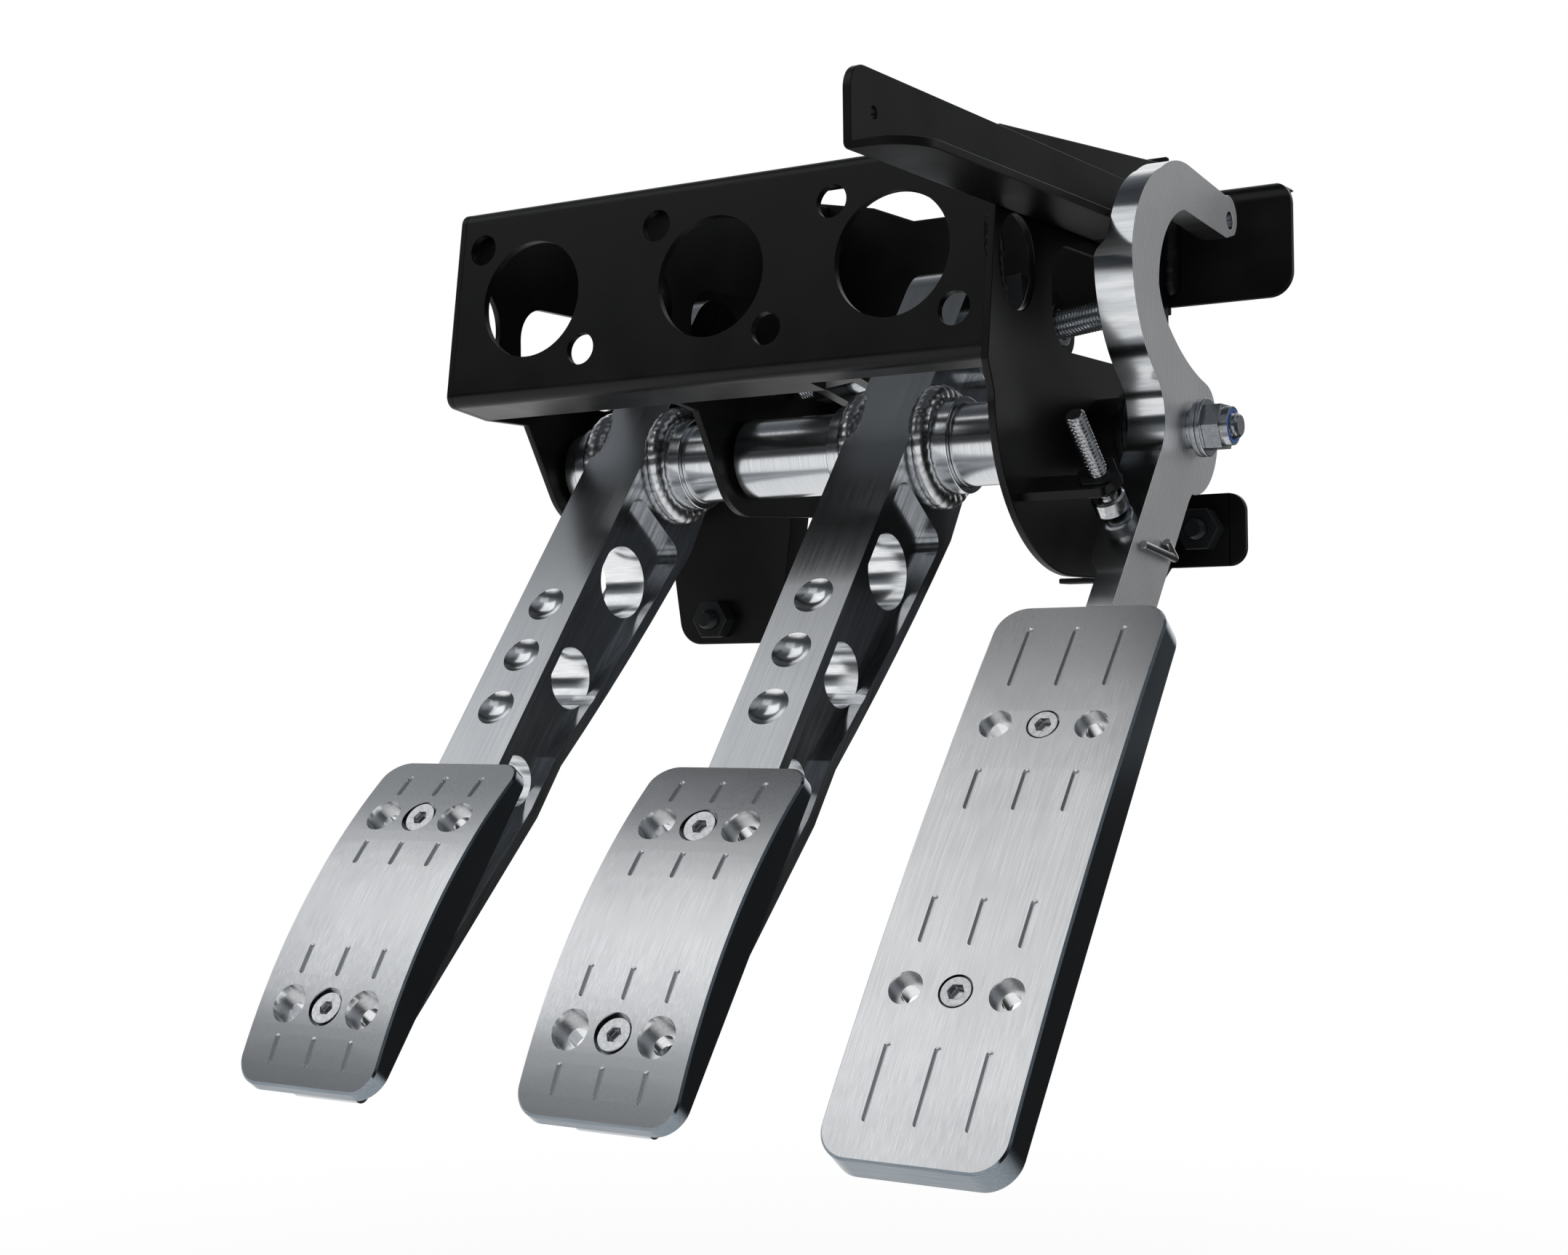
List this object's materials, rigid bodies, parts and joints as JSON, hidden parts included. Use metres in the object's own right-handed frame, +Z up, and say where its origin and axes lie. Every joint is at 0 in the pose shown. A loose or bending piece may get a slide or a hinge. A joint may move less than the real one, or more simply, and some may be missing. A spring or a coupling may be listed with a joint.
{
  "type": "pedal box",
  "caption": "Hanging pedal box: folded steel frame with clutch, brake and throttle pedals on one through bolt, a balance bar and a plate for bolt-on hydraulic cylinders.",
  "frame": {"origin": "centre of the middle cylinder hole, on the face of the front plate that looks at the driver", "axes": "+X to the driver's right along the pivot bolt, +Y forward to the bulkhead, +Z up"},
  "size_m": [0.2592, 0.2458, 0.2902],
  "materials": {
    "black_paint": "satin",
    "black_steel": "satin",
    "machined_aluminium": "brushed",
    "turned_aluminium": "satin",
    "weld_aluminium": "satin",
    "zinc_steel": "satin",
    "stainless_steel": "polished",
    "bronze": "satin",
    "nylon": "matte"
  },
  "bodies": {
    "frame": {"cylinder_plate": "black_paint", "left_side_plate": "black_paint", "centre_pivot_plate": "black_paint", "right_side_plate": "black_paint", "back_plate": "black_paint", "bulkhead_lug": "black_paint", "bulkhead_tab": "black_paint", "lower_strip": "black_paint", "bulkhead_studs": "black_steel", "bulkhead_nuts": "black_steel", "top_angle": "black_paint", "frame_welds": "black_paint", "pivot_bolt": "zinc_steel", "pivot_washers": "zinc_steel", "pivot_nut": "zinc_steel", "nut_insert": "nylon", "pivot_boss": "black_paint", "throttle_spacer": "turned_aluminium", "stop_bolt": "stainless_steel", "stop_tab": "black_paint", "stop_nut": "black_steel"},
    "clutch": {"clutch_arm": "machined_aluminium", "clutch_hub": "turned_aluminium", "clutch_bushes": "bronze", "clutch_hub_welds": "weld_aluminium", "clutch_pad": "machined_aluminium", "clutch_pad_screws": "stainless_steel"},
    "brake": {"brake_arm": "machined_aluminium", "brake_hub": "turned_aluminium", "brake_bushes": "bronze", "brake_hub_welds": "weld_aluminium", "brake_pad": "machined_aluminium", "brake_pad_screws": "stainless_steel", "balance_tube": "zinc_steel"},
    "bar": {"balance_bar": "zinc_steel", "balance_bearing": "zinc_steel", "bar_nut": "black_steel", "front_brake_barrel": "zinc_steel", "rear_brake_barrel": "zinc_steel"},
    "front_clevis": {"front_brake_clevis": "black_steel"},
    "rear_clevis": {"rear_brake_clevis": "black_steel"},
    "throttle": {"throttle_arm": "machined_aluminium", "throttle_bush": "bronze", "throttle_pad": "machined_aluminium", "throttle_pad_screws": "stainless_steel", "throttle_spring_clip": "stainless_steel"}
  },
  "joints": [
    {"name": "clutch_pivot", "type": "hinge", "parent": "frame", "child": "clutch", "pos_m": [-0.0698, 0.066, -0.05], "axis": [1, 0, 0], "range_deg": [0, 28]},
    {"name": "brake_pivot", "type": "hinge", "parent": "frame", "child": "brake", "pos_m": [0.0319, 0.066, -0.05], "axis": [1, 0, 0], "range_deg": [0, 22]},
    {"name": "throttle_pivot", "type": "hinge", "parent": "frame", "child": "throttle", "pos_m": [0.1255, 0.066, -0.05], "axis": [1, 0, 0], "range_deg": [0, 25], "stiffness_Nm_per_rad": 2.5, "springref_deg": -45.84},
    {"name": "balance_bar_tilt", "type": "hinge", "parent": "brake", "child": "bar", "pos_m": [0.0319, 0.09385, -0.01529], "axis": [-0.1219, 0, 0.9925], "range_deg": [-7, 7]},
    {"name": "front_clevis_swing", "type": "hinge", "parent": "bar", "child": "front_clevis", "pos_m": [0, 0.09385, -0.01921], "axis": [0.9925, 0, 0.1219], "range_deg": [-25, 12]},
    {"name": "rear_clevis_swing", "type": "hinge", "parent": "bar", "child": "rear_clevis", "pos_m": [0.0638, 0.09385, -0.01137], "axis": [0.9925, 0, 0.1219], "range_deg": [-25, 12]}
  ]
}
